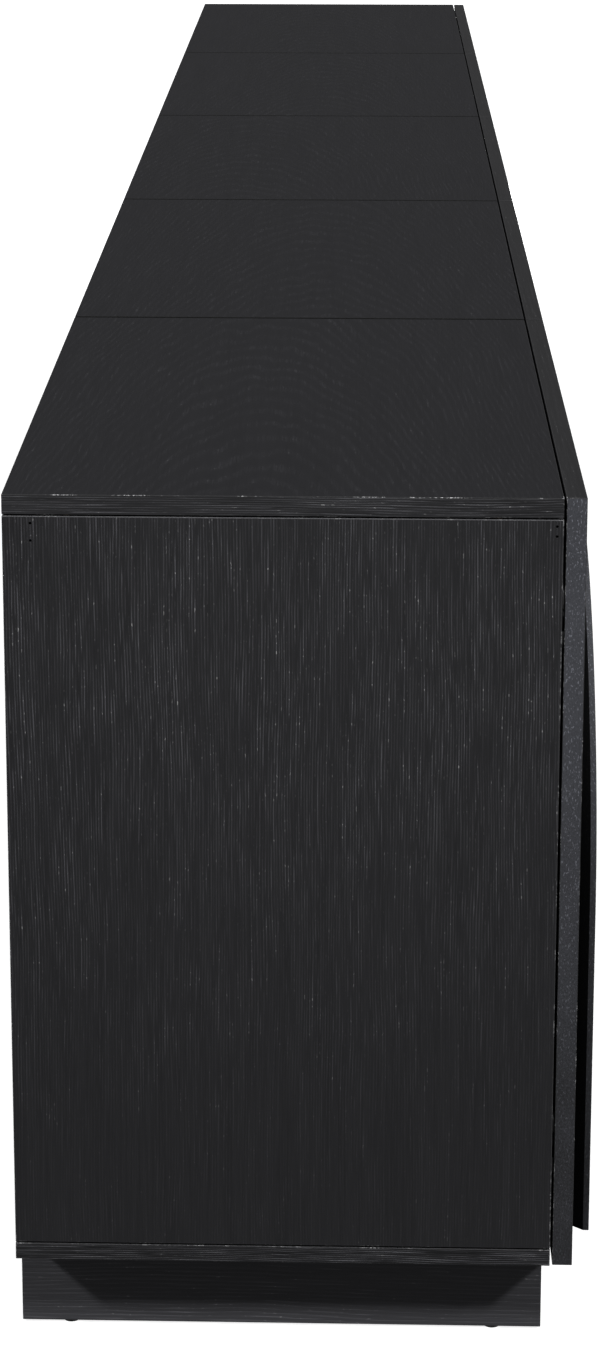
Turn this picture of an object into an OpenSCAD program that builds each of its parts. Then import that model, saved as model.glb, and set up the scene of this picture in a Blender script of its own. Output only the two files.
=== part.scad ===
// Long sideboard of equal one-door bays on a recessed plinth.
// The front faces -Y, the length runs along X, and the floor is Z = 0.

/* [Cabinet] */
// Number of bays, each one door wide
bays = 5; // [2:1:5]
// Width of one bay
bay_w = 600; // [450:5:700]
// Depth of the carcase, without the doors
carcase_d = 432; // [360:1:520]
// Height of the whole sideboard
overall_h = 724; // [660:1:800]
// Thickness of the sides, tops and shelves
board_t = 16; // [16:1:19]
// Thickness of the bottom boards
bottom_t = 14; // [12:1:18]
// Thickness of the back panels
back_t = 8; // [6:1:10]
// Distance of each back panel in front of the rear edges
back_inset = 6; // [2:1:12]

/* [Plinth] */
// Height of the plinth, with its glides
plinth_h = 80; // [60:1:110]
// Thickness of the plinth boards
plinth_t = 16; // [14:1:22]
// Recess of the plinth at each end
plinth_end_recess = 39; // [20:1:60]
// Recess of the plinth behind the front edge of the carcase
plinth_front_recess = 4; // [2:1:30]
// Height of the nail-on glides
glide_h = 2; // [2:0.5:5]

/* [Doors] */
// Thickness of the door slab
slab_t = 16; // [16:1:19]
// Space between the carcase and the back of a door
door_gap = 2; // [1.8:0.1:3]
// Space between neighbouring doors
door_joint = 3; // [2:0.5:4]
// Thickness of the arched panel on each door
arch_t = 15; // [12:1:18]
// Thickness of the arched panel's square outer edge
arch_lip = 4.8; // [3:0.5:8]
// Distance from the door's upright edges to the arched panel
arch_inset = 25; // [23:1:40]
// Height of the plain strip of door below the arched panel
arch_foot = 17; // [6:1:40]
// Height of plain door above the crown of the arched panel
arch_head = 73.5; // [40:0.5:200]
// Depth of the finger grip cut behind the arched panel's edge
grip_d = 8; // [4:1:10]

/* [Fittings] */
// Height of each shelf's underside above the bottom board, as a part of the inside height
shelf_level = 0.48; // [0.35:0.01:0.65]
// Setback of the shelf behind the carcase's front edge
shelf_setback = 24; // [20:1:60]
// Distance from the door's edge to the middle of a hinge cup
cup_edge = 22.5; // [21.5:0.5:24]
// Distance from the ends of a door to the middle of its hinge cups
cup_end = 100; // [80:1:130]

/* [Hidden] */
$fn = 64;
eps = 0.01;
fit = 0.05;

length = bays * bay_w;
arch_front = -(carcase_d + door_gap + slab_t + arch_t) / 2;
slab_front = arch_front + arch_t;
slab_back = slab_front + slab_t;
carcase_front = slab_back + door_gap;
carcase_back = carcase_front + carcase_d;
top_under = overall_h - board_t;
side_bottom = plinth_h + bottom_t;
side_h = top_under - side_bottom;

door_w = bay_w - door_joint;
arch_w = door_w - 2 * arch_inset;
arch_r = arch_w / 2;
arch_bottom = plinth_h + arch_foot;
arch_top = overall_h - arch_head;
arch_spring = arch_top - arch_r;

shelf_z = side_bottom + side_h * shelf_level;
shelf_play = 2;
shelf_d = carcase_d - shelf_setback - back_t - back_inset - shelf_play;
pin_r = 2.5;
pin_reach = 9;
pin_hole = 10;
pin_front_inset = 60;
pin_rear_inset = 70;
pin_front = carcase_front + pin_front_inset;
pin_rear = carcase_back - pin_rear_inset;

dowel_r = 4;
dowel_l = 28;
dowel_in_board = 9;
dowel_inset = 50;
dowel_ys = [carcase_front + dowel_inset, carcase_back - dowel_inset];

bolt_r = 4;
bolt_head_r = 7;
bolt_head_t = 1.6;
bolt_inset = 90;
bolt_rise = 45;
bolt_ys = [carcase_front + bolt_inset, carcase_back - bolt_inset];
bolt_zs = [side_bottom + bolt_rise, top_under - bolt_rise];

cup_r = 17.5;
cup_wall = 1.6;
cup_depth = 12;
cup_floor = 1.2;
flange_t = 1;
flange_w = 23;
flange_h = 56;
hinge_zs = [plinth_h + cup_end, overall_h - cup_end];
plate_t = 2;
plate_w = 14;
plate_h = 48;
plate_y = carcase_front + 37;
saddle_t = 7;
saddle_l = 60;
arm_t = 10;
arm_w = 14;
arm_front = carcase_front + 4;
arm_l = 62;
nose_x = door_joint / 2 + 30;
nose_w = 6;
nose_t = 10;
nose_reach = 9;

brad_r = 1;
brad_l = 12;
brad_sink = 2;
brad_front_y = carcase_front + 5;
brad_rear_y = carcase_back - 22;
brad_spots = [[brad_front_y, top_under - 6.5], [brad_front_y, top_under - 14.5],
              [brad_rear_y, top_under - 7], [brad_rear_y, top_under - 21]];

glide_r = 7;
glide_inset = 40;
bumper_r = 5;
bumper_tip_r = 4;
bumper_play = 0.3;
bumper_inset = 20;

ebony = [0.13, 0.13, 0.135];
ebony_dark = [0.09, 0.09, 0.095];
ebony_edge = [0.19, 0.19, 0.205];
steel = [0.30, 0.30, 0.31];
beech = [0.80, 0.66, 0.48];
clear = [0.85, 0.87, 0.88];

function numbered(name) = [for (i = [1:bays]) str(name, "_", i)];
function bay_x(i) = -length / 2 + (i - 1) * bay_w;

// A box from one corner to the opposite one
module block(low, high) {
    translate(low) cube(high - low);
}

// A rod of radius r and length l whose middle is at its origin, along X
module rod_x(r, l) {
    rotate([0, 90, 0]) cylinder(r = r, h = l, center = true);
}

// ---- Plinth ----

plinth_y0 = carcase_front + plinth_front_recess;
plinth_x1 = length / 2 - plinth_end_recess;

module plinth_rail(y) {
    color(ebony) block([-plinth_x1 + plinth_t, y, glide_h], [plinth_x1 - plinth_t, y + plinth_t, plinth_h]);
}

module plinth_end(x) {
    color(ebony) block([x, plinth_y0, glide_h], [x + plinth_t, carcase_back, plinth_h]);
}

module plinth_cross_rails() {
    for (i = [2:bays])
        color(ebony_dark)
            translate([bay_x(i) - plinth_t / 2, 0, 0])
                block([0, plinth_y0 + plinth_t, glide_h], [plinth_t, carcase_back - plinth_t, plinth_h]);
}

module plinth_glides() {
    xs = concat([-plinth_x1 + plinth_t / 2], [for (i = [2:bays]) bay_x(i)], [plinth_x1 - plinth_t / 2]);
    for (x = xs, y = [plinth_y0 + glide_inset, carcase_back - glide_inset])
        color(ebony_dark) translate([x, y, 0]) cylinder(r = glide_r, h = glide_h);
}

// ---- Carcase boards, each drawn for the bay that starts at X = 0 ----

module dowel_holes(z, depth) {
    for (x = [board_t / 2, bay_w - board_t / 2], y = dowel_ys)
        translate([x, y, z]) cylinder(r = dowel_r + fit, h = depth);
}

module top_board() {
    color(ebony) difference() {
        block([0, carcase_front, top_under], [bay_w, carcase_back, overall_h]);
        dowel_holes(top_under - eps, dowel_in_board + eps);
    }
}

module bottom_board() {
    color(ebony) difference() {
        block([0, carcase_front, plinth_h], [bay_w, carcase_back, side_bottom]);
        dowel_holes(side_bottom - dowel_in_board, dowel_in_board + eps);
    }
}

// outer is the X of the face that meets the next bay or the open air
module side_board(outer, joined, last) {
    x0 = outer == 0 ? 0 : bay_w - board_t;
    inner = outer == 0 ? board_t : bay_w - board_t;
    deep = dowel_l - dowel_in_board;
    color(ebony) difference() {
        block([x0, carcase_front, side_bottom], [x0 + board_t, carcase_back, top_under]);
        for (y = dowel_ys, z = [side_bottom - eps, top_under - deep])
            translate([x0 + board_t / 2, y, z]) cylinder(r = dowel_r + fit, h = deep + eps);
        for (y = [pin_front, pin_rear])
            translate([inner, y, shelf_z - pin_r]) rod_x(pin_r + fit, 2 * pin_hole);
        if (joined)
            for (y = bolt_ys, z = bolt_zs)
                translate([x0 + board_t / 2, y, z]) rod_x(bolt_r + fit, board_t + 2 * eps);
        if (last)
            for (spot = brad_spots)
                translate([outer, spot[0], spot[1]]) rod_x(brad_r + fit, 2 * brad_l);
    }
}

module back_panel() {
    y1 = carcase_back - back_inset;
    color(ebony_dark)
        block([board_t, y1 - back_t, side_bottom], [bay_w - board_t, y1, top_under]);
}

module shelf() {
    y0 = carcase_front + shelf_setback;
    color(ebony)
        block([board_t + shelf_play, y0, shelf_z],
              [bay_w - board_t - shelf_play, y0 + shelf_d, shelf_z + board_t]);
}

// ---- Small fittings ----

module shelf_pins() {
    for (i = [1:bays], inner = [board_t, bay_w - board_t], y = [pin_front, pin_rear]) {
        away = inner == board_t ? 1 : -1;
        color(steel)
            translate([bay_x(i) + inner + away * (pin_reach - pin_hole) / 2, y, shelf_z - pin_r])
                rod_x(pin_r, pin_reach + pin_hole);
    }
}

module dowels() {
    for (i = [1:bays], x = [board_t / 2, bay_w - board_t / 2], y = dowel_ys,
         z = [side_bottom - dowel_in_board, top_under + dowel_in_board - dowel_l])
        color(beech) translate([bay_x(i) + x, y, z]) cylinder(r = dowel_r, h = dowel_l);
}

module bay_bolts() {
    for (i = [2:bays], y = bolt_ys, z = bolt_zs)
        color(steel) translate([bay_x(i), y, z]) {
            rod_x(bolt_r, 2 * board_t);
            for (side = [-1, 1])
                translate([side * (board_t + bolt_head_t / 2), 0, 0]) rod_x(bolt_head_r, bolt_head_t);
        }
}

module edge_brads() {
    for (end = [-1, 1], spot = brad_spots)
        color(steel)
            translate([end * (length - brad_l - brad_sink) / 2, spot[0], spot[1]])
                rod_x(brad_r, brad_l - brad_sink);
}

module door_bumpers() {
    for (i = [1:bays], z = [side_bottom + bumper_inset, top_under - bumper_inset])
        color(clear)
            translate([bay_x(i) + bay_w - board_t / 2, carcase_front, z])
                rotate([90, 0, 0]) cylinder(r1 = bumper_r, r2 = bumper_tip_r, h = door_gap - bumper_play);
}

// ---- Hinges, with X measured from the bay's hinge side ----

module hinge_plates() {
    for (i = [1:bays], z = hinge_zs)
        color(steel) translate([bay_x(i) + board_t, plate_y, z]) {
            block([0, -plate_w / 2, -plate_h / 2], [plate_t, plate_w / 2, plate_h / 2]);
            block([0, -saddle_l / 2, -plate_w / 2], [saddle_t, saddle_l / 2, plate_w / 2]);
        }
}

// The arm lies on its plate, and its round nose reaches into the cup
module hinge_arm() {
    tip_y = slab_back - nose_reach + nose_w / 2;
    arm_x = board_t + saddle_t;
    block([arm_x, arm_front, -arm_w / 2], [arm_x + arm_t, arm_front + arm_l, arm_w / 2]);
    block([nose_x, tip_y, -nose_t / 2], [nose_x + nose_w, arm_front + nose_w, nose_t / 2]);
    translate([nose_x + nose_w / 2, tip_y, 0]) cylinder(r = nose_w / 2, h = nose_t, center = true);
}

module hinge_arms() {
    for (i = [1:bays], z = hinge_zs)
        color(steel) translate([bay_x(i), 0, z]) hinge_arm();
}

module hinge_cups() {
    x = door_joint / 2 + cup_edge;
    for (z = hinge_zs)
        color(steel) translate([x, slab_back, z]) rotate([90, 0, 0]) difference() {
            union() {
                cylinder(r = cup_r, h = cup_depth);
                translate([0, 0, -flange_t])
                    linear_extrude(flange_t) square([flange_w, flange_h], center = true);
            }
            translate([0, 0, -flange_t - eps])
                cylinder(r = cup_r - cup_wall, h = flange_t + cup_depth - cup_floor);
        }
}

// ---- Doors ----

module door_slab() {
    x0 = door_joint / 2;
    color(ebony_edge) difference() {
        block([x0, slab_front, plinth_h], [x0 + door_w, slab_back, overall_h]);
        for (z = hinge_zs)
            translate([x0 + cup_edge, slab_back + eps, z])
                rotate([90, 0, 0]) cylinder(r = cup_r + fit, h = cup_depth + eps);
    }
}

// The arched outline, r wide each side of the middle, drawn in the XZ plane
module arch_body(r, y0, y1) {
    block([-r, y0, arch_bottom], [r, y1, arch_spring]);
    translate([0, y1, arch_spring]) rotate([90, 0, 0]) intersection() {
        cylinder(r = r, h = y1 - y0, $fn = 128);
        translate([-r - 1, 0, -1]) cube([2 * r + 2, r + 1, y1 - y0 + 2]);
    }
}

module arch_panel() {
    lip_back = arch_front + arch_lip;
    inner_r = arch_r - grip_d;
    grip_h = slab_front - lip_back;
    color(ebony) translate([bay_w / 2, 0, 0]) {
        arch_body(arch_r, arch_front, lip_back);
        translate([0, 0, arch_bottom]) linear_extrude(arch_spring - arch_bottom)
            polygon([[-arch_r, lip_back], [arch_r, lip_back], [inner_r, slab_front], [-inner_r, slab_front]]);
        translate([0, slab_front, arch_spring]) rotate([90, 0, 0]) intersection() {
            cylinder(r1 = inner_r, r2 = arch_r, h = grip_h, $fn = 128);
            translate([-arch_r - 1, 0, -1]) cube([2 * arch_r + 2, arch_r + 1, grip_h + 2]);
        }
    }
}

// ---- Assembly ----

plinth_rail(plinth_y0);  // plinth_front
plinth_rail(carcase_back - plinth_t);  // plinth_back
plinth_end(-plinth_x1);  // plinth_left_end
plinth_end(plinth_x1 - plinth_t);  // plinth_right_end
plinth_cross_rails();
plinth_glides();

for (i = [1:bays]) {
    translate([bay_x(i), 0, 0]) bottom_board();
    translate([bay_x(i), 0, 0]) side_board(outer = 0, joined = i > 1, last = i == 1);
    translate([bay_x(i), 0, 0]) side_board(outer = bay_w, joined = i < bays, last = i == bays);
    translate([bay_x(i), 0, 0]) top_board();
    translate([bay_x(i), 0, 0]) back_panel();
    translate([bay_x(i), 0, 0]) shelf();
    translate([bay_x(i), 0, 0]) door_slab();
    translate([bay_x(i), 0, 0]) arch_panel();
    translate([bay_x(i), 0, 0]) hinge_cups();
}

shelf_pins();
dowels();
bay_bolts();
edge_brads();
hinge_plates();
hinge_arms();
door_bumpers();
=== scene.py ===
import math

import bpy
from mathutils import Matrix, Vector


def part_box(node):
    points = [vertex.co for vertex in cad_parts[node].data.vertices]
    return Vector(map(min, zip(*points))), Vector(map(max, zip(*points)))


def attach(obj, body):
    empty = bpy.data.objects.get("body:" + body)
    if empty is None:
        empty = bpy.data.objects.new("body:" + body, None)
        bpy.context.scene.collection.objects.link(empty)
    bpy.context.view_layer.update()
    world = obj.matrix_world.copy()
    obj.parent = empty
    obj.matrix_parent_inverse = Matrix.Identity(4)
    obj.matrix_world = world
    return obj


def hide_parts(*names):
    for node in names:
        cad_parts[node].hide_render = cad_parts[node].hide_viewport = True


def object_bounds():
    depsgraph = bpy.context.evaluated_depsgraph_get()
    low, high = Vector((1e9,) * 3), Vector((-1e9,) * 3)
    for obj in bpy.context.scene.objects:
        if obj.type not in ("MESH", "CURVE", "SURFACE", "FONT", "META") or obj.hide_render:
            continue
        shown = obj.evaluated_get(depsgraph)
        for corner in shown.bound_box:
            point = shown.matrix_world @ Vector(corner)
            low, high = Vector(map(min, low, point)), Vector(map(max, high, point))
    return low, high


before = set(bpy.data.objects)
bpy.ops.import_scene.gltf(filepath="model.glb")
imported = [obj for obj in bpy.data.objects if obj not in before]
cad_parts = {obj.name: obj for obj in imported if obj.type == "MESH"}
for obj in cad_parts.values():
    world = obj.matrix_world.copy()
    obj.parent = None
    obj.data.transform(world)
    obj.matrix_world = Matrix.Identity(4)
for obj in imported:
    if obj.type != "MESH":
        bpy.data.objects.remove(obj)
cad_low, cad_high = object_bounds()

# ---- Driving sizes, in metres, taken from the frame ----

BAYS = 5
MM = 0.001
LENGTH = cad_high.x - cad_low.x
BAY = LENGTH / BAYS
LEFT = cad_low.x
ARRIS = 0.5 * MM
SEAM = 2.1 * MM
SHADOW_GAP = 1.2 * MM
BRADS = ((-194.5, 701.5), (-194.5, 693.5), (210.5, 701), (210.5, 687))  # Y and Z, in millimetres
BRAD_R, BRAD_SUNK = 1.15 * MM, 2 * MM

slab_low, slab_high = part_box("door_slab_1")
arch_low, arch_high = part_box("arch_panel_1")
side_low, side_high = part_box("side_left_1")
cup_low, cup_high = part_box("hinge_cups_1")
arm_low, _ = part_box("hinge_arms")
plate_low, plate_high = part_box("hinge_plates")

CUP_R = (cup_high.x - cup_low.x) / 2
CUP_X = (cup_high.x + cup_low.x) / 2
CUP_DEPTH = slab_high.y - cup_low.y
FLANGE = cup_high.y - slab_high.y
FLANGE_REACH = 28 * MM
CUP_ZS = (cup_low.z + FLANGE_REACH, cup_high.z - FLANGE_REACH)


# ---- Modelling, as at the bench ----

def let_go():
    """Drops the selection, so that the next operator touches only the new piece."""
    if bpy.context.object and bpy.context.object.mode != "OBJECT":
        bpy.ops.object.mode_set(mode="OBJECT")
    bpy.ops.object.select_all(action="DESELECT")


def hold(piece):
    """Makes one piece the selected and active one."""
    let_go()
    piece.select_set(True)
    bpy.context.view_layer.objects.active = piece


def settle(piece, name):
    """Puts a piece's place into its mesh and names it."""
    hold(piece)
    bpy.ops.object.transform_apply(location=True, rotation=True, scale=True)
    piece.name = piece.data.name = name
    return piece


def blank(name, low, high):
    """A squared-up blank between two corners, ready to be worked."""
    low, high = Vector(low), Vector(high)
    let_go()
    bpy.ops.mesh.primitive_cube_add(size=1, location=(low + high) / 2, scale=high - low)
    return settle(bpy.context.object, name)


def dowel_blank(name, radius, length, centre, axis="Z", sides=32):
    """A round blank along X, Y or Z."""
    turn = {"X": (0, math.pi / 2, 0), "Y": (math.pi / 2, 0, 0), "Z": (0, 0, 0)}[axis]
    let_go()
    bpy.ops.mesh.primitive_cylinder_add(vertices=sides, radius=radius, depth=length,
                                        location=centre, rotation=turn)
    return settle(bpy.context.object, name)


def pick(piece, part, test):
    """Selects, in edit mode, the vertices, edges or faces that pass a test."""
    hold(piece)
    bpy.ops.object.mode_set(mode="EDIT")
    bpy.ops.mesh.select_mode(type={"vertices": "VERT", "edges": "EDGE", "polygons": "FACE"}[part])
    bpy.ops.mesh.select_all(action="DESELECT")
    bpy.ops.object.mode_set(mode="OBJECT")
    for item in getattr(piece.data, part):
        item.select = bool(test(item))
    bpy.ops.object.mode_set(mode="EDIT")


def ends(piece, edge):
    """The two ends of an edge."""
    return [piece.data.vertices[v].co for v in edge.vertices]


def run(piece, edge, axis):
    """How far an edge runs along one axis."""
    start, end = ends(piece, edge)
    return abs(start[axis] - end[axis])


def ease(piece, width, segments=2, test=None, slot=-1):
    """Rounds over the chosen edges, and gives the rounding its own material slot."""
    pick(piece, "edges", test or (lambda edge: True))
    bpy.ops.mesh.bevel(offset=width, segments=segments, affect="EDGES", material=slot,
                       clamp_overlap=True)
    bpy.ops.object.mode_set(mode="OBJECT")


def paint(piece, slot, test):
    """Gives the faces that pass a test one of the piece's materials."""
    for face in piece.data.polygons:
        if test(face):
            face.material_index = slot


def dress(piece, *materials):
    """Fills the material slots."""
    piece.data.materials.clear()
    for material in materials:
        piece.data.materials.append(material)


def smooth(piece, degrees=50):
    """Shades the roundings softly and keeps the broad faces flat."""
    hold(piece)
    bpy.ops.object.shade_smooth_by_angle(angle=math.radians(degrees))
    even = piece.modifiers.new("even", "WEIGHTED_NORMAL")
    even.keep_sharp = True
    bpy.ops.object.modifier_apply(modifier=even.name)
    return piece


def work(piece, tool, operation="DIFFERENCE"):
    """Cuts a piece with another, or joins the two, and puts the tool away."""
    hold(piece)
    cut = piece.modifiers.new("work", "BOOLEAN")
    cut.operation, cut.object, cut.solver = operation, tool, "EXACT"
    bpy.ops.object.modifier_apply(modifier=cut.name)
    bpy.data.objects.remove(tool)


def gather(name, pieces):
    """Joins several finished shells into one piece."""
    hold(pieces[0])
    for piece in pieces[1:]:
        piece.select_set(True)
    bpy.ops.object.join()
    return settle(bpy.context.object, name)


def twin(piece, name, shift):
    """A copy with its own mesh, moved along."""
    made = piece.copy()
    made.data = piece.data.copy()
    made.name = made.data.name = name
    made.data.transform(Matrix.Translation(shift))
    bpy.context.collection.objects.link(made)
    return made


def place_in_bays(first, stem, node, body, bays=range(1, BAYS + 1)):
    """Repeats the first bay's piece along the cabinet, each in place of its CAD node."""
    start = bays[0]
    for bay in bays:
        name = f"{stem}_{bay}"
        piece = first if bay == start else twin(first, name, (BAY * (bay - start), 0, 0))
        piece.name = name
        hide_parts(f"{node}_{bay}")
        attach(piece, body(bay))


# ---- Shader wiring ----

class Wire:
    """A value in a material. Its operators add Math nodes, and node() adds any other one."""

    def __init__(self, tree, socket=None):
        self.tree, self.socket = tree, socket

    def plug(self, socket, value):
        if isinstance(value, Wire):
            self.tree.links.new(value.socket, socket)
        else:
            socket.default_value = value

    def node(self, kind, sockets, output=0, **settings):
        made = self.tree.nodes.new(kind)
        for key, value in settings.items():
            setattr(made, key, value)
        for key, value in sockets.items():
            self.plug(made.inputs[key], value)
        if isinstance(output, tuple):
            return tuple(Wire(self.tree, made.outputs[key]) for key in output)
        return Wire(self.tree, made.outputs[output])

    def math(self, operation, left, right=0.0):
        return self.node("ShaderNodeMath", {0: left, 1: right}, operation=operation)

    def __add__(self, other):
        return self.math("ADD", self, other)

    def __radd__(self, other):
        return self.math("ADD", other, self)

    def __sub__(self, other):
        return self.math("SUBTRACT", self, other)

    def __rsub__(self, other):
        return self.math("SUBTRACT", other, self)

    def __mul__(self, other):
        return self.math("MULTIPLY", self, other)

    def __rmul__(self, other):
        return self.math("MULTIPLY", other, self)

    def __truediv__(self, other):
        return self.math("DIVIDE", self, other)

    def __pow__(self, other):
        return self.math("POWER", self, other)

    def sine(self):
        return self.math("SINE", self)

    def absolute(self):
        return self.math("ABSOLUTE", self)

    def floor(self):
        return self.math("FLOOR", self)

    def fract(self):
        return self.math("FRACT", self)

    def band(self, low, high):
        """0 below low, 1 above high, and a soft step between."""
        return self.node("ShaderNodeMapRange", {"Value": self, "From Min": low, "From Max": high},
                         interpolation_type="SMOOTHSTEP")


def start_material(name):
    """A new material, a wire to build on, and its Principled shader."""
    material = bpy.data.materials.new(name)
    material.use_nodes = True
    return material, Wire(material.node_tree), material.node_tree.nodes["Principled BSDF"]


def coordinates(wire):
    """Where a point lies, whole and as X, Y and Z. Pieces keep the frame's own coordinates."""
    place = wire.node("ShaderNodeTexCoord", {}, output="Object")
    return place, *wire.node("ShaderNodeSeparateXYZ", {"Vector": place}, output=("X", "Y", "Z"))


def vector(wire, x, y, z):
    return wire.node("ShaderNodeCombineXYZ", {"X": x, "Y": y, "Z": z})


def grey(level, blue=1.0):
    """A grey that leans a little to blue where blue is above 1."""
    return (level, level, level * blue, 1)


def noise(wire, place, scale=1.0, detail=2.0, roughness=0.5):
    return wire.node("ShaderNodeTexNoise", {"Vector": place, "Scale": scale, "Detail": detail,
                                            "Roughness": roughness}, output="Fac")


def blend_colours(wire, amount, low, high):
    return wire.node("ShaderNodeMix", {"Factor": amount, 6: low, 7: high}, output=2, data_type="RGBA")


def finish_surface(wire, shader, colour, roughness, height, relief):
    """Plugs the three channels that vary over a surface into the shader."""
    wire.plug(shader.inputs["Base Color"], colour)
    wire.plug(shader.inputs["Roughness"], roughness)
    bump = wire.node("ShaderNodeBump", {"Height": height, "Strength": 1.0, "Distance": relief},
                     output="Normal")
    wire.plug(shader.inputs["Normal"], bump)


# ---- Finishes ----

OAK_SHEEN = 0.22


def stained_oak(name, grain, tone, pores=1.0, specks=1.0, ring=2.4 * MM, roughness=0.5, blue=1.07,
                face="y", heart=(0.04, 0.045), swirl=1.0, depth=0.12, foot_shade=0.0, sheen=OAK_SHEEN):
    """Black stained, brushed oak. grain is the axis that the fibres follow, and face is the axis
    across the board's broad side. heart is how far the tree's heart lies along that axis and behind
    the board: a near heart gives flat-cut arches, and a far one gives straight rift-cut lines. The
    open pores lie in the early wood of each growth ring and hold a silver-grey wax. pores sets how
    much of it shows and, above 1, how bright it is. Thinning the wax towards the foot paints shade
    there: the board darkens lower down as if less light reached it."""
    material, w, shader = start_material(name)
    _, x, y, z = coordinates(w)
    bay = ((x - LEFT) / BAY).floor()
    local_x = x - LEFT - (bay + 0.5) * BAY
    axes = {"x": local_x, "y": y, "z": z}
    along, across = axes[grain], axes[face]
    third = axes[({"x", "y", "z"} - {grain, face}).pop()]
    shuffle = bay * 3.71

    # Growth rings: the board is a slice through a tree whose heart lies behind it and leans
    sway = noise(w, vector(w, across * 5.0, along * 2.2, shuffle), detail=2.0) - 0.5
    beside = across - heart[0] + 0.05 * (bay * 2.3).sine() + 0.05 * swirl * sway
    behind = heart[1] + 0.06 * along * swirl + 0.5 * third
    radius = (beside * beside + behind * behind) ** 0.5
    wobble = noise(w, vector(w, across * 30.0, along * 6.0, third * 30.0 + shuffle), detail=3.0)
    rings = (radius / ring + wobble * 2.4).fract()
    early = 1.0 - (rings - 0.5).absolute().band(0.10, 0.27)

    def streaks(width, length, detail, seed):
        return noise(w, vector(w, across / width + wobble * 2.0, along / length + shuffle + seed,
                               third / width + seed), detail=detail)

    fibre = streaks(1.7 * MM, 90 * MM, 3.0, 1.0)
    broad = streaks(11 * MM, 260 * MM, 2.0, 5.0)
    dash = streaks(1.3 * MM, 36 * MM, 2.0, 9.0).band(0.34, 0.64) * (0.05 + 0.95 * early)
    strong = streaks(1.6 * MM, 42 * MM, 2.0, 21.0).band(0.54, 0.66) * early
    speck = streaks(2.1 * MM, 4.2 * MM, 1.0, 13.0).band(0.64, 0.72) * (0.05 + 0.95 * early)
    waxed = 0.45 + 0.55 * streaks(30 * MM, 160 * MM, 1.0, 17.0).band(0.3, 0.65)
    # Painted shade: the wax thins towards the foot, so the board darkens lower down in place of light
    # falling off there.
    if foot_shade:
        waxed = waxed * (1.0 - foot_shade + foot_shade * z.band(0.12, 0.66))

    gleam = max(pores, 1.0)
    dark, light = grey(tone * (1 - depth), blue), grey(tone * (1 + depth), blue)
    wax, bright = grey(tone * 3.0 * gleam, blue), grey(tone * 20.0)
    filled = (dash * 0.60 + strong * 0.85) * waxed * min(pores, 1.0)
    colour = blend_colours(w, (fibre * 0.65 + broad * 0.35).band(0.3, 0.7), dark, light)
    colour = blend_colours(w, filled, colour, wax)
    colour = blend_colours(w, speck * (0.10 + 0.90 * strong) * waxed * min(specks, 1.0), colour, bright)
    height = 0.3 * fibre + 0.2 * broad - 0.7 * dash
    finish_surface(w, shader, colour, roughness + 0.12 * dash + 0.10 * (fibre - 0.5), height, 0.16 * MM)
    shader.inputs["Specular IOR Level"].default_value = sheen
    return material


def outer_ends(x):
    """A mask that is 1 only at the two ends of the whole cabinet."""
    return x.absolute().band(LENGTH / 2 - 8 * MM, LENGTH / 2 - 4 * MM)


def sanded_edge(name, tone, blue, only_ends=False):
    """An edge band seen end on: an even mottle, with crumbs of wax in its pores. It is painted paler,
    with more crumbs, towards the top and darker towards the foot: painted light and shade by height."""
    material, w, shader = start_material(name)
    place, x, y, z = coordinates(w)
    mottle = noise(w, vector(w, x * 700.0, y * 700.0, z * 500.0), detail=3.0)
    crumb = noise(w, vector(w, x * 900.0, y * 900.0, z * 420.0 + 7.0), detail=1.0).band(0.60, 0.72)
    cloud = noise(w, place, scale=14.0, detail=3.0)
    # Painted light and shade: paler towards the top and darker towards the foot, in place of light that
    # falls off with height.
    wear_and_height_shade = z.band(0.10, 0.68)
    # Painted shade: away from the cabinet's two ends the band gets neither pallor nor crumbs, so the
    # door edges in the gaps between doors stay dark.
    if only_ends:
        wear_and_height_shade = wear_and_height_shade * outer_ends(x)
        crumb = crumb * outer_ends(x)
    dark = (tone * 0.26, tone * 0.26, tone * 0.27, 1)
    light = (tone * 1.45, tone * 1.50, tone * 1.50 * blue, 1)
    pallor = (mottle * 0.6 + cloud * 0.4).band(0.32, 0.68) * 0.32 + 0.09 + wear_and_height_shade * 0.54
    colour = blend_colours(w, pallor, dark, light)
    pale = (tone * 6.0, tone * 6.2, tone * 6.2 * blue, 1)
    colour = blend_colours(w, crumb * (0.10 + 0.40 * wear_and_height_shade), colour, pale)
    finish_surface(w, shader, colour, 0.5 + 0.15 * mottle, mottle, 0.18 * MM)
    shader.inputs["Specular IOR Level"].default_value = OAK_SHEEN
    return material


def rubbed_arris(name, tone, shine, only_ends=False):
    """The eased corner of a stained board, where the stain is rubbed through in places."""
    material, w, shader = start_material(name)
    place, x, _, _ = coordinates(w)
    patches = noise(w, place, scale=38.0, detail=4.0, roughness=0.65)
    crumbs = noise(w, place, scale=420.0, detail=2.0)
    worn = patches.band(0.50, 0.66) * crumbs.band(0.42, 0.62)
    # Away from the cabinet's two ends the arris gets no rubbed pale spots. On the doors this is painted
    # shade that keeps the arrises in the gaps between doors dark.
    if only_ends:
        worn = worn * outer_ends(x)
    dark = (tone * 0.9, tone * 0.9, tone * 0.95, 1)
    colour = blend_colours(w, crumbs, dark, (tone * 1.7, tone * 1.7, tone * 1.8, 1))
    colour = blend_colours(w, worn, colour, grey(shine, 1.02))
    finish_surface(w, shader, colour, 0.5 + 0.2 * worn, crumbs, 0.15 * MM)
    shader.inputs["Specular IOR Level"].default_value = OAK_SHEEN
    return material


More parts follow.
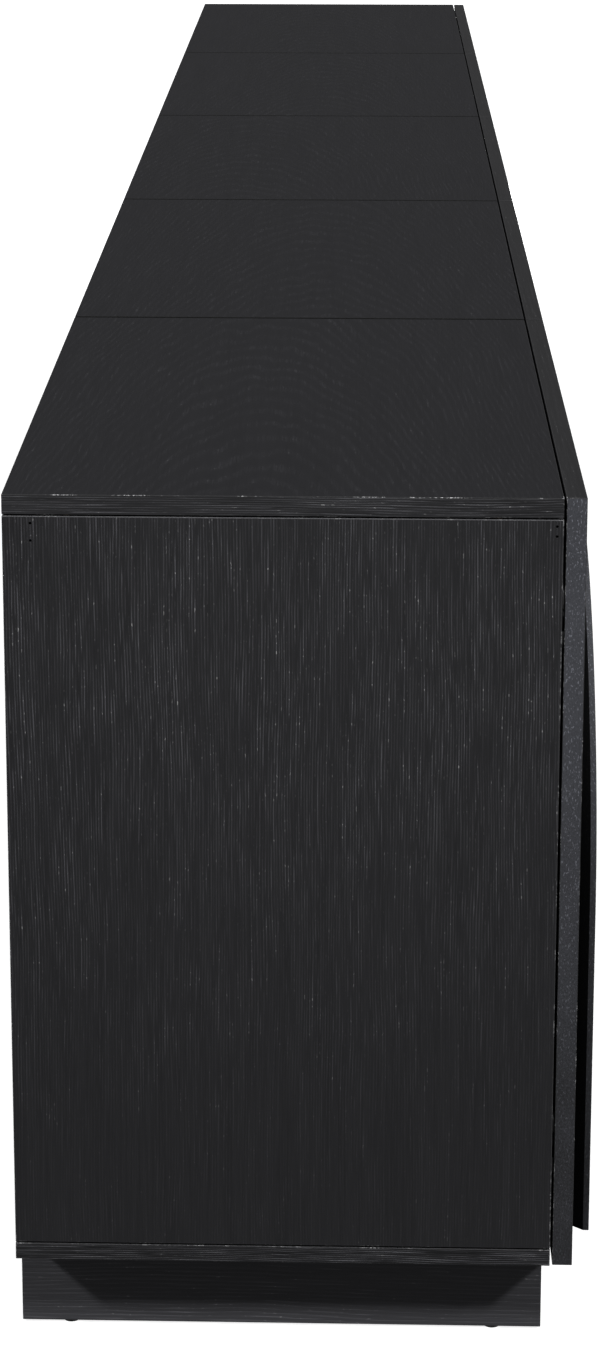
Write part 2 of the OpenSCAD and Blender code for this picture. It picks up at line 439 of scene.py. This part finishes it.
def plated_steel(name):
    """Black nickel plate over pressed steel, with faint rolling marks."""
    material, w, shader = start_material(name)
    place, x, y, z = coordinates(w)
    rolled = noise(w, vector(w, x * 900.0, y * 60.0, z * 900.0), detail=3.0)
    wear_and_height_shade = noise(w, place, scale=55.0, detail=3.0)
    colour = blend_colours(w, wear_and_height_shade, (0.10, 0.10, 0.105, 1), (0.19, 0.19, 0.19, 1))
    finish_surface(w, shader, colour, 0.26 + 0.16 * rolled + 0.12 * wear_and_height_shade, rolled, 0.03 * MM)
    shader.inputs["Metallic"].default_value = 1.0
    return material


def pale_beech(name):
    """Raw beech, with its short brown flecks."""
    material, w, shader = start_material(name)
    _, x, y, z = coordinates(w)
    fleck = noise(w, vector(w, x * 1500.0, y * 1500.0, z * 180.0), detail=2.0)
    colour = blend_colours(w, fleck.band(0.5, 0.7), (0.62, 0.45, 0.28, 1), (0.42, 0.27, 0.15, 1))
    finish_surface(w, shader, colour, 0.6 + 0.1 * fleck, fleck, 0.1 * MM)
    return material


def moulded(name, low, high, roughness):
    """Moulded plastic with a fine even grain."""
    material, w, shader = start_material(name)
    place = w.node("ShaderNodeTexCoord", {}, output="Object")
    cloud = noise(w, place, scale=160.0, detail=3.0)
    grit = noise(w, place, scale=2600.0, detail=1.0)
    colour = blend_colours(w, cloud, (*low, 1), (*high, 1))
    finish_surface(w, shader, colour, roughness + 0.1 * cloud, grit, 0.04 * MM)
    return material


TOP_OAK = stained_oak("oak_top", "x", 0.0101, pores=0.20, specks=0.1, face="y", roughness=0.62,
                      depth=0.08, sheen=0.10, blue=1.12)
# The panel's wax thins towards its foot, a painted shade that darkens it lower down.
PANEL_OAK = stained_oak("oak_panel", "z", 0.0144, pores=1.5, specks=1.0, face="y", ring=2.2 * MM,
                        heart=(0.32, 0.16), swirl=0.35, foot_shade=0.85, blue=1.10)
# Painted light and shade: the slab oak is a darker copy of the arch oak, so the recessed slab reads
# shaded and the raised arch lit.
DOOR_OAK_SHADED = stained_oak("oak_door", "z", 0.0142, pores=0.8, specks=0.6, face="x", ring=2.4 * MM,
                       heart=(0.46, 0.16), swirl=0.35)
ARCH_OAK_LIT = stained_oak("oak_arch_lit", "z", 0.0212, pores=0.9, specks=0.8, face="x", ring=2.4 * MM,
                       heart=(0.52, 0.16), swirl=0.35)
PLINTH_OAK = stained_oak("oak_plinth", "x", 0.0260, pores=0.5, specks=0.5, face="z", swirl=0.3)
BAND_OAK = stained_oak("oak_end_band", "y", 0.0165, pores=1.8, specks=1.0, ring=1.9 * MM, face="z",
                       heart=(-0.5, 0.1), swirl=0.4, depth=0.4, blue=1.09)
# A darker copy of the end band for the bottom boards: its lower tone is painted shade of the lower
# edge. Its stronger wax is the wood's own.
BASE_BAND_SHADED = stained_oak("oak_base_band_shaded", "y", 0.0104, pores=3.1, specks=1.0, ring=1.7 * MM, face="z",
                        heart=(-0.5, 0.1), swirl=0.4, depth=0.4, blue=1.09)
PLINTH_BAND = stained_oak("oak_plinth_end", "y", 0.0430, pores=0.38, specks=0.2, ring=3.5 * MM,
                          face="z", heart=(-0.4, 0.1), swirl=0.4, blue=1.10)
DOOR_BAND = sanded_edge("oak_door_band", 0.0415, 1.16, only_ends=True)
LIP_BAND = sanded_edge("oak_lip_band", 0.0400, 1.16)
# Near black: painted shade for the faces inside the open joints between boards.
JOINT_SHADE = sanded_edge("oak_joint_shade", 0.0020, 1.0)
# Very dark: painted shade for the arch's undercut faces.
GRIP_SHADE = sanded_edge("oak_grip_shade", 0.0060, 1.1)
DOOR_CAP = stained_oak("oak_door_cap", "x", 0.0110, pores=0.2, specks=0.3, face="y", swirl=0.2,
                       sheen=0.16)
INSIDE_OAK = stained_oak("oak_inside", "z", 0.0180, pores=0.5, specks=0.3, face="x", roughness=0.58)
SHELF_OAK = stained_oak("oak_shelf", "x", 0.0180, pores=0.5, specks=0.3, face="y", roughness=0.55)
TOP_ARRIS = rubbed_arris("arris_top", 0.015, 0.42, only_ends=True)
PANEL_ARRIS = rubbed_arris("arris_panel", 0.024, 0.22)
# Much paler than the panel: the line along the panel's head is partly rubbed wear and partly a painted
# highlight.
WORN_HIGHLIGHT_ARRIS = rubbed_arris("arris_line_worn_highlight", 0.050, 0.16)
DOOR_ARRIS = rubbed_arris("arris_door", 0.018, 0.30, only_ends=True)
LIP_ARRIS = rubbed_arris("arris_lip", 0.040, 0.26)
STEEL = plated_steel("plated_steel")
BEECH = pale_beech("pale_beech")
NYLON = moulded("black_nylon", (0.015, 0.015, 0.016), (0.03, 0.03, 0.031), 0.45)
SOFT_CLEAR = moulded("milky_bumper", (0.30, 0.31, 0.32), (0.38, 0.39, 0.40), 0.30)


def carcase(bay):
    """The body of a piece that stays put, whatever its bay."""
    return "carcase"


def door(bay):
    """The body of a piece that swings with its bay's door."""
    return f"door_{bay}"


# ---- Carcase boards ----

def faces_along(axis):
    """A test for faces that look along one axis."""
    return lambda face: abs(face.normal[axis]) > 0.9


def level_board(name, node, materials, gaps=(0.0, 0.0), arris=ARRIS):
    """A top, bottom or shelf board: broad veneer, bands on its two ends, eased arrises, in that
    order in materials. An end with a gap is drawn back by it and painted near black as shade."""
    low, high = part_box(node)
    piece = blank(name, low + Vector((gaps[0], 0, 0)), high - Vector((gaps[1], 0, 0)))
    dress(piece, *materials, JOINT_SHADE)
    for side, gap in ((-1, gaps[0]), (1, gaps[1])):
        paint(piece, 3 if gap else 1, lambda face: face.normal.x * side > 0.9)
    ease(piece, arris, slot=2)
    # The drawn-back ends and their arrises take the near-black painted shade of the joint.
    paint(piece, 3, lambda face: gaps[0] and face.center.x < low.x + gaps[0] + arris)
    paint(piece, 3, lambda face: gaps[1] and face.center.x > high.x - gaps[1] - arris)
    return smooth(piece)


def row_of_boards(stem, node, materials):
    """A board to every bay, with a fine open joint between neighbours and flush outer ends."""
    for bays in ((1,), tuple(range(2, BAYS)), (BAYS,)):
        first = bays[0]
        gaps = (0.0 if first == 1 else SEAM, 0.0 if first == BAYS else SEAM)
        board = level_board(f"{stem}_{first}", f"{node}_{first}", materials, gaps)
        place_in_bays(board, stem, node, carcase, bays)


def upright_board(name, node, materials, arris=ARRIS, gap=0.0):
    """A side or a back, on edge, drawn back by the gap at its head and foot."""
    low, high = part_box(node)
    piece = blank(name, low + Vector((0, 0, gap)), high - Vector((0, 0, gap)))
    dress(piece, *materials)
    ease(piece, arris, slot=1)
    return piece


def build_carcase():
    row_of_boards("top", "top_board", (TOP_OAK, BAND_OAK, TOP_ARRIS))
    row_of_boards("base", "bottom_board", (SHELF_OAK, BASE_BAND_SHADED, PANEL_ARRIS))
    shelf = level_board("loose_shelf_1", "shelf_1", (SHELF_OAK, SHELF_OAK, PANEL_ARRIS), arris=0.8 * MM)
    place_in_bays(shelf, "loose_shelf", "shelf", carcase)
    back = smooth(upright_board("back_sheet_1", "back_panel_1", (INSIDE_OAK, INSIDE_OAK)))
    place_in_bays(back, "back_sheet", "back_panel", carcase)


def drill(piece, radius, depth, centre, axis="X"):
    """A round hole that reaches its depth on each side of its centre."""
    work(piece, dowel_blank("drill", radius, 2 * depth, centre, axis=axis, sides=20))


def end_panel(name, node, outer):
    """An outer side, with a worn and painted-highlight line along its head and its brads sunk below the
    face.
    """
    piece = upright_board(name, node, (PANEL_OAK, PANEL_ARRIS, WORN_HIGHLIGHT_ARRIS), arris=0.7 * MM,
                          gap=SHADOW_GAP)
    head = piece.bound_box[1][2]
    # The arris along the head takes the pale line, which is rubbed wear and a painted highlight.
    paint(piece, 2, lambda face: face.material_index == 1 and face.center.z > head - 0.8 * MM)
    for y, z in BRADS:
        drill(piece, BRAD_R, BRAD_SUNK, (outer, y * MM, z * MM))
    smooth(piece)
    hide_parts(node)
    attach(piece, "carcase")


def build_sides():
    end_panel("end_panel_left", "side_left_1", cad_low.x)
    end_panel("end_panel_right", f"side_right_{BAYS}", cad_high.x)
    right = smooth(upright_board("partition_right_1", "side_right_1", (PANEL_OAK, PANEL_ARRIS)))
    left = smooth(upright_board("partition_left_2", "side_left_2", (PANEL_OAK, PANEL_ARRIS)))
    place_in_bays(right, "partition_right", "side_right", carcase, range(1, BAYS))
    place_in_bays(left, "partition_left", "side_left", carcase, range(2, BAYS + 1))


def build_plinth():
    for name, node, oak in (("plinth_face", "plinth_front", PLINTH_OAK),
                            ("plinth_rear", "plinth_back", PLINTH_OAK),
                            ("plinth_end_left", "plinth_left_end", PLINTH_BAND),
                            ("plinth_end_right", "plinth_right_end", PLINTH_BAND)):
        low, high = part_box(node)
        piece = blank(name, low, high)
        dress(piece, oak, PANEL_ARRIS)
        ease(piece, ARRIS, slot=1)
        smooth(piece)
        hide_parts(node)
        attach(piece, "carcase")


# ---- Doors ----

def build_slab():
    """A door slab with banded edges and two cup bores in its back."""
    piece = blank("slab_1", slab_low, slab_high)
    dress(piece, DOOR_OAK_SHADED, DOOR_BAND, DOOR_ARRIS, DOOR_CAP)
    paint(piece, 1, faces_along(0))
    paint(piece, 3, faces_along(2))
    ease(piece, ARRIS, slot=2)
    slack, clear = 0.05 * MM, 2 * MM
    for z in CUP_ZS:
        centre = (CUP_X, slab_high.y - CUP_DEPTH / 2 + clear / 2, z)
        cutter = dowel_blank("cutter", CUP_R + slack, CUP_DEPTH + clear, centre, axis="Y", sides=48)
        work(piece, cutter)
    smooth(piece)
    place_in_bays(piece, "slab", "door_slab", door)


def build_arch():
    """The raised panel: half a disc on a rectangle, undercut all round but for its foot."""
    radius = (arch_high.x - arch_low.x) / 2
    middle = (arch_high.x + arch_low.x) / 2
    spring = arch_high.z - radius
    lip, grip = 4.8 * MM, 8 * MM
    let_go()
    bpy.ops.mesh.primitive_circle_add(vertices=128, radius=radius, fill_type="NGON",
                                      location=(middle, arch_low.y, spring),
                                      rotation=(math.pi / 2, 0, 0))
    piece = settle(bpy.context.object, "arch_1")

    def on_spring_line(edge):
        return all(abs(v.z - spring) < MM for v in ends(piece, edge))

    bpy.ops.object.mode_set(mode="EDIT")
    bpy.ops.mesh.select_all(action="SELECT")
    bpy.ops.mesh.bisect(plane_co=(middle, arch_low.y, spring), plane_no=(0, 0, 1), clear_inner=True)
    bpy.ops.object.mode_set(mode="OBJECT")
    pick(piece, "edges", on_spring_line)
    bpy.ops.mesh.extrude_region_move(TRANSFORM_OT_translate={"value": (0, 0, arch_low.z - spring)})
    bpy.ops.object.mode_set(mode="OBJECT")
    pick(piece, "edges", on_spring_line)
    bpy.ops.mesh.dissolve_edges(use_verts=False)
    bpy.ops.mesh.select_all(action="SELECT")
    bpy.ops.mesh.extrude_region_move(TRANSFORM_OT_translate={"value": (0, lip, 0)})
    bpy.ops.mesh.inset(thickness=grip, depth=0)
    bpy.ops.transform.translate(value=(0, arch_high.y - arch_low.y - lip, 0))
    bpy.ops.mesh.select_all(action="SELECT")
    bpy.ops.mesh.normals_make_consistent(inside=False)
    bpy.ops.object.mode_set(mode="OBJECT")
    foot = arch_low.z + grip + MM
    pick(piece, "vertices", lambda v: v.co.y > arch_high.y - MM and v.co.z < foot)
    bpy.ops.transform.translate(value=(0, 0, -grip))
    bpy.ops.object.mode_set(mode="OBJECT")
    dress(piece, ARCH_OAK_LIT, LIP_BAND, LIP_ARRIS, GRIP_SHADE)
    paint(piece, 1, lambda face: abs(face.normal.y) < 0.9)
    # The undercut faces take the very dark finish, a painted shade in the recess.
    paint(piece, 3, lambda face: face.center.y > arch_low.y + lip)
    ease(piece, ARRIS, slot=2, test=lambda e: all(v.y < arch_low.y + MM for v in ends(piece, e)))
    smooth(piece, 30)
    place_in_bays(piece, "arch", "arch_panel", door)


# ---- Hinges ----

def cross_screw(name, x, y, z, axis, radius=3.2 * MM, head=0.9 * MM):
    """A low screw head with a rounded rim and a cross recess, facing out along X or Y."""
    piece = dowel_blank(name, radius, head, (x, y, z), axis=axis, sides=24)
    ease(piece, 0.25 * MM)
    arm, slot = radius * 0.62, 0.45 * MM
    out = Vector((head / 2, 0, 0)) if axis == "X" else Vector((0, head / 2, 0))
    centre = Vector((x, y, z)) + out
    for wide, tall in ((arm, slot), (slot, arm)):
        half = out + (Vector((0, wide, tall)) if axis == "X" else Vector((wide, 0, tall)))
        work(piece, blank("driver", centre - half, centre + half))
    return smooth(piece)


def build_cups():
    """Pressed hinge cups with their flanges and screws, two to a door."""
    shells = []
    wall, floor = 1.6 * MM, 1.2 * MM
    bottom = slab_high.y - CUP_DEPTH + floor
    flange_half, screw_step = 11.5 * MM, 21.5 * MM
    for z in CUP_ZS:
        centre = (CUP_X, slab_high.y - CUP_DEPTH / 2, z)
        cup = dowel_blank("cup", CUP_R, CUP_DEPTH, centre, axis="Y", sides=48)
        pick(cup, "polygons", lambda face: face.normal.y > 0.9)
        bpy.ops.mesh.inset(thickness=wall, depth=0)
        bpy.ops.mesh.extrude_region_move(TRANSFORM_OT_translate={"value": (0, floor - CUP_DEPTH, 0)})
        bpy.ops.object.mode_set(mode="OBJECT")
        ease(cup, 1.5 * MM, segments=3,
             test=lambda e: all(abs(v.y - bottom) < 0.1 * MM for v in ends(cup, e)))
        flange = blank("flange", (CUP_X - flange_half, slab_high.y, z - FLANGE_REACH),
                       (CUP_X + flange_half, slab_high.y + FLANGE, z + FLANGE_REACH))
        ease(flange, 8 * MM, segments=6, test=lambda e: run(flange, e, 1) > FLANGE / 2)
        mouth = (CUP_X, slab_high.y, z)
        work(flange, dowel_blank("punch", CUP_R - wall, 8 * MM, mouth, axis="Y", sides=48))
        shells += [smooth(cup), smooth(flange)]
        for end in (-1, 1):
            shells.append(cross_screw("screw", CUP_X, slab_high.y + FLANGE - 0.35 * MM,
                                      z + end * screw_step, "Y", radius=3.4 * MM, head=0.7 * MM))
    piece = gather("cup_pair_1", shells)
    dress(piece, STEEL)
    place_in_bays(piece, "cup_pair", "hinge_cups", door)


def build_arms():
    """Hinge arms: a pressed channel on its saddle, with adjusting screws and a nose of two links."""
    arm_w, arm_t, arm_l = 14 * MM, 10 * MM, 62 * MM
    x0 = side_high.x + 7 * MM
    y0 = side_low.y + 4 * MM
    nose_w, nose_t = 6 * MM, 10 * MM
    nose_x = slab_low.x + 30 * MM
    shells = []
    for z in CUP_ZS:
        channel = blank("channel", (x0, y0, z - arm_w / 2), (x0 + arm_t, y0 + arm_l, z + arm_w / 2))
        ease(channel, 2.5 * MM, segments=4,
             test=lambda e: all(v.x > x0 + arm_t / 2 for v in ends(channel, e)))
        pick(channel, "polygons", lambda face: face.normal.x > 0.95 and face.area > 100 * MM * MM)
        bpy.ops.mesh.inset(thickness=2.0 * MM, depth=0)
        bpy.ops.mesh.extrude_region_move(TRANSFORM_OT_translate={"value": (-1.2 * MM, 0, 0)})
        bpy.ops.object.mode_set(mode="OBJECT")
        shells.append(smooth(channel))
        for back in (16 * MM, 44 * MM):
            shells.append(cross_screw("adjuster", x0 + arm_t - 0.9 * MM, y0 + back, z, "X"))
        for level in (-1, 1):
            middle = z + level * nose_t * 0.3
            link = blank("link", (nose_x, arm_low.y, middle - nose_t * 0.2),
                         (nose_x + nose_w, y0 + nose_w, middle + nose_t * 0.2))
            ease(link, 2.6 * MM, segments=5,
                 test=lambda e: (all(v.y < arm_low.y + MM for v in ends(link, e))
                                 and run(link, e, 2) > MM))
            shells.append(smooth(link))
        centre = (nose_x + nose_w / 2, arm_low.y + nose_w / 2, z)
        shells.append(smooth(dowel_blank("pivot", 1.6 * MM, nose_t, centre)))
    arms = gather("hinge_arm_set", shells)
    repeat_along(arms)
    dress(arms, STEEL)
    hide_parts("hinge_arms")
    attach(arms, "carcase")


def repeat_along(piece):
    """Repeats a fitting in every bay within one piece."""
    hold(piece)
    row = piece.modifiers.new("row", "ARRAY")
    row.use_relative_offset = False
    row.use_constant_offset = True
    row.constant_offset_displace = (BAY, 0, 0)
    row.count = BAYS
    bpy.ops.object.modifier_apply(modifier=row.name)


def build_plates():
    """Mounting plates: a winged foot, a raised saddle and two screws each."""
    shells = []
    x0 = side_high.x
    y_mid = (plate_low.y + plate_high.y) / 2
    foot_t, wing_y, wing_z = 2 * MM, 7 * MM, 24 * MM
    saddle_t, saddle_y, saddle_z = 7 * MM, 30 * MM, 7 * MM
    for z in CUP_ZS:
        wing = blank("wing", (x0, y_mid - wing_y, z - wing_z),
                     (x0 + foot_t, y_mid + wing_y, z + wing_z))
        ease(wing, 6 * MM, segments=5, test=lambda e: run(wing, e, 0) > MM)
        saddle = blank("saddle", (x0, y_mid - saddle_y, z - saddle_z),
                       (x0 + saddle_t, y_mid + saddle_y, z + saddle_z))
        ease(saddle, 1.5 * MM, segments=3,
             test=lambda e: all(v.x > x0 + foot_t for v in ends(saddle, e)))
        work(saddle, wing, "UNION")
        shells.append(smooth(saddle))
        for end in (-1, 1):
            shells.append(cross_screw("wood_screw", x0 + foot_t + 0.3 * MM, y_mid,
                                      z + end * 16 * MM, "X", radius=3.6 * MM))
    plates = gather("hinge_plate_set", shells)
    repeat_along(plates)
    dress(plates, STEEL)
    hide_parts("hinge_plates")
    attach(plates, "carcase")


def finish_cad_parts():
    """Materials for the fittings whose CAD shape is already right."""
    finishes = {"shelf_pins": STEEL, "bay_bolts": STEEL, "edge_brads": STEEL, "dowels": BEECH,
                "door_bumpers": SOFT_CLEAR, "plinth_glides": NYLON, "plinth_cross_rails": INSIDE_OAK}
    for node, material in finishes.items():
        dress(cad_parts[node], material)


# ---- Studio ----

def aim(thing, place, target):
    """Sets a camera or a lamp at a place and turns it to its target."""
    thing.location = place
    thing.rotation_euler = (Vector(target) - Vector(place)).to_track_quat("-Z", "Y").to_euler()


def build_camera():
    """Stands off the left end, above the top, and looks along the cabinet."""
    data = bpy.data.cameras.new("camera")
    data.lens = 79.3
    data.shift_x, data.shift_y = 0.011, -0.329
    data.clip_end = 200
    camera = bpy.data.objects.new("camera", data)
    bpy.context.collection.objects.link(camera)
    stand_off, aside, above = 2.219, 0.0439, 0.6595
    pitch, yaw = 0.2018, 0.0262
    place = Vector((cad_low.x - stand_off, -aside, cad_high.z + above))
    look = Vector((math.cos(pitch) * math.cos(yaw), math.cos(pitch) * math.sin(yaw), -math.sin(pitch)))
    aim(camera, place, place + look)
    bpy.context.scene.camera = camera


def hang(name, kind, power, place, target, **settings):
    """Adds a lamp that is not itself seen."""
    data = bpy.data.lights.new(name, kind)
    data.energy = power
    for key, value in settings.items():
        setattr(data, key, value)
    lamp = bpy.data.objects.new(name, data)
    bpy.context.collection.objects.link(lamp)
    aim(lamp, place, target)
    lamp.visible_camera = False


def sun(name, strength, direction, spread):
    """A distant lamp that shines along a direction. Its spread in degrees softens the shadows."""
    hang(name, "SUN", strength, (0, 0, 0), direction, angle=math.radians(spread))


def build_lights():
    """Two suns rake the near end from both sides, and soft fills open the front, rear and ends."""
    swing, lift = math.radians(60), math.radians(40)
    for name, side in (("key_back", 1), ("key_front", -1)):
        flat = math.cos(lift)
        sun(name, 2.6, (math.cos(swing) * flat, -side * math.sin(swing) * flat, -math.sin(lift)), 5)
    sun("front_fill", 1.3, (0.06, 0.50, -0.86), 16)
    sun("rear_fill", 0.6, (0.0, -0.80, -0.60), 30)
    level = cad_high.z * 0.95
    near, far = Vector((cad_low.x, -0.02, level)), Vector((cad_high.x, 0, level * 0.5))
    hang("head_fill", "SPOT", 14.0, near - Vector((2.0, 0, 0)), near - Vector((0, 0, 0.10)),
         spot_size=math.radians(26), spot_blend=1.0, shadow_soft_size=0.15)
    hang("far_fill", "AREA", 45.0, far + Vector((2.2, -0.3, 0)), far, shape="DISK", size=0.6)


def build_world():
    """White to the eye, dim as a light, so that the dark finish stays dark."""
    world = bpy.data.worlds.new("studio")
    bpy.context.scene.world = world
    world.use_nodes = True
    tree = world.node_tree
    w = Wire(tree)
    seen = w.node("ShaderNodeLightPath", {}, output="Is Camera Ray")
    as_light, more_when_seen = 0.16, 0.89
    back = tree.nodes["Background"]
    back.inputs["Color"].default_value = (1, 1, 1, 1)
    w.plug(back.inputs["Strength"], as_light + seen * more_when_seen)


def build_floor():
    """A pale floor that takes a faint shadow and throws no light back."""
    let_go()
    bpy.ops.mesh.primitive_plane_add(size=160, location=(0, 0, 0))
    floor = settle(bpy.context.object, "floor")
    material, w, shader = start_material("pale_floor")
    place = w.node("ShaderNodeTexCoord", {}, output="Object")
    mottle = noise(w, place, scale=3.0, detail=3.0)
    w.plug(shader.inputs["Base Color"], blend_colours(w, mottle, grey(0.30), grey(0.32)))
    shader.inputs["Emission Color"].default_value = (1, 1, 1, 1)
    shader.inputs["Emission Strength"].default_value = 0.80
    shader.inputs["Roughness"].default_value = 1.0
    shader.inputs["Specular IOR Level"].default_value = 0.0
    material.cycles.emission_sampling = "NONE"
    dress(floor, material)
    floor.visible_diffuse = floor.visible_glossy = False


build_carcase()
build_sides()
build_plinth()
build_slab()
build_arch()
build_cups()
build_plates()
build_arms()
finish_cad_parts()
build_camera()
build_lights()
build_world()
build_floor()
bpy.context.scene.view_settings.view_transform = "Standard"
